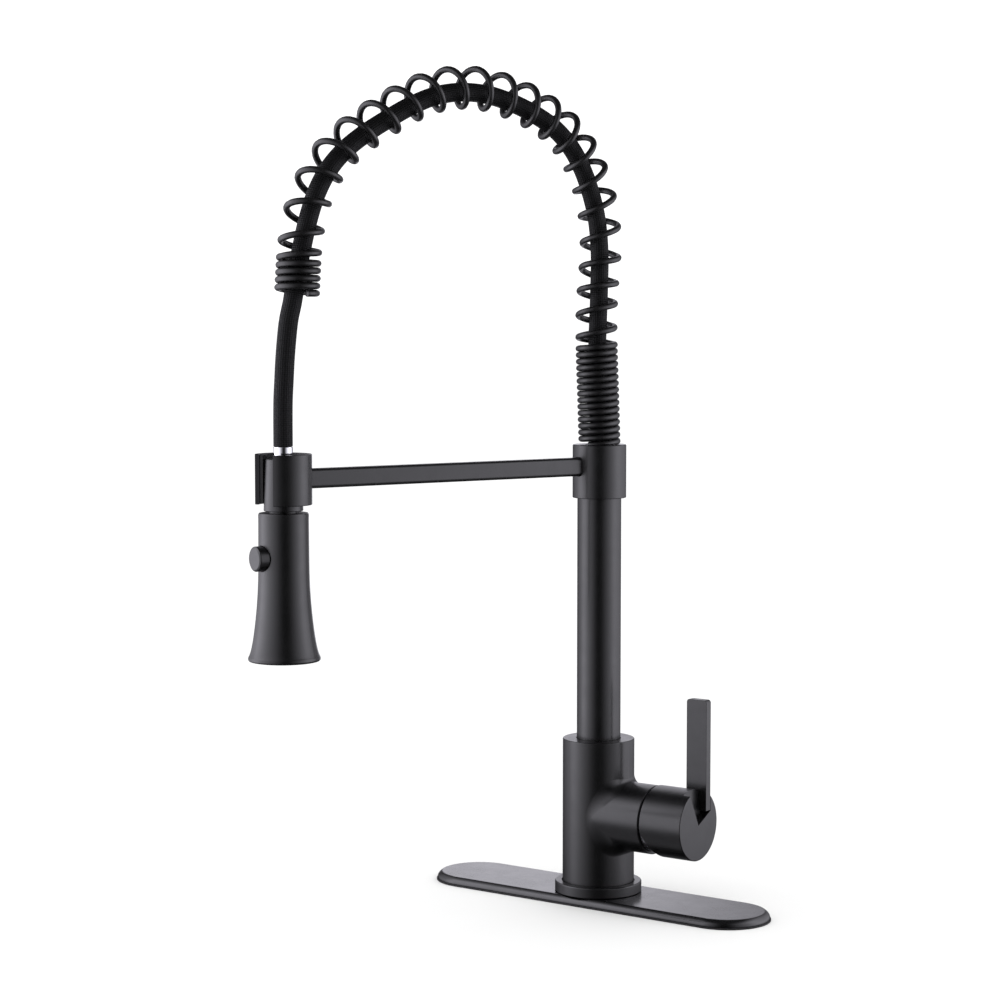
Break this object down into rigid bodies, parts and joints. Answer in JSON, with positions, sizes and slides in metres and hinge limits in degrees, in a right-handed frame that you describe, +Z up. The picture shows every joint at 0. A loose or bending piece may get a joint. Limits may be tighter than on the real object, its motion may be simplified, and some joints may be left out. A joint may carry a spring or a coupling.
{
  "type": "pre rinse faucet",
  "caption": "Deck-mounted pre-rinse faucet with a side lever, a coil spring arch over a hose, and a spray head docked in an open clip on a slim arm.",
  "frame": {"origin": "on the body's axis, where the deck gasket's underside meets the deck", "axes": "+Z up along the body and riser; +X along the deck plate, towards the lever; the spout points to -Y, swung 20 degrees towards -X"},
  "size_m": [0.26, 0.2793, 0.6033],
  "materials": {
    "black_paint": "satin, very fine orange peel",
    "rubber": "matt",
    "hose_braid": "fine woven nylon braid, matt",
    "chrome": "polished",
    "steel": "satin",
    "brass": "satin",
    "black_plastic": "satin",
    "ceramic": "satin"
  },
  "bodies": {
    "base": {"deck_gasket": "rubber", "deck_plate": "black_paint", "base_ring": "black_paint", "valve_body": "black_paint", "mounting_shank": "brass", "deck_washer": "rubber", "clamp_washer": "steel", "lock_nut": "brass", "cartridge_shell": "black_plastic", "ceramic_seat": "ceramic", "cartridge_nut": "steel"},
    "rotor": {"ceramic_shutter": "ceramic", "cartridge_rotor": "black_plastic", "stem_pin": "steel"},
    "handle": {"valve_stem": "steel", "handle_cap": "black_paint", "handle_lever": "black_paint", "handle_screw": "steel"},
    "spout": {"riser_tube": "black_paint", "riser_seal": "rubber", "riser_collar": "black_paint", "collar_screw": "steel", "dock_arm": "black_paint", "dock_clip": "black_paint", "dock_liner": "black_plastic", "hose_nipple": "brass", "spray_hose": "hose_braid", "support_spring": "black_paint"},
    "hose_end": {"hose_ferrule": "chrome", "head_neck": "black_paint"},
    "spray_head": {"head_shell": "black_paint", "head_core": "black_plastic", "spray_face": "black_plastic", "aerator": "steel"},
    "button": {"spray_button": "black_paint"}
  },
  "joints": [
    {"name": "spout_swivel", "type": "hinge", "parent": "base", "child": "spout", "pos_m": [0, 0, 0.2], "axis": [0, 0, 1], "continuous": true},
    {"name": "head_pull", "type": "slide", "parent": "spout", "child": "hose_end", "axis": [0, 0, -1], "range_m": [0, 0.06], "stiffness_N_per_m": 200, "springref_m": -0.03, "deforming": ["spray_hose", "support_spring"]},
    {"name": "head_spin", "type": "hinge", "parent": "hose_end", "child": "spray_head", "pos_m": [-0.08256, -0.22684, 0.27], "axis": [0, 0, 1], "continuous": true},
    {"name": "button_press", "type": "slide", "parent": "spray_head", "child": "button", "axis": [0.342, 0.9397, 0], "range_m": [0, 0.0025], "stiffness_N_per_m": 600, "springref_m": -0.002},
    {"name": "handle_turn", "type": "hinge", "parent": "base", "child": "rotor", "pos_m": [0.05, 0, 0.0594], "axis": [1, 0, 0], "range_deg": [-45, 45]},
    {"name": "handle_tilt", "type": "hinge", "parent": "rotor", "child": "handle", "pos_m": [0.05, 0, 0.0594], "axis": [0, 1, 0], "range_deg": [0, 20]}
  ]
}
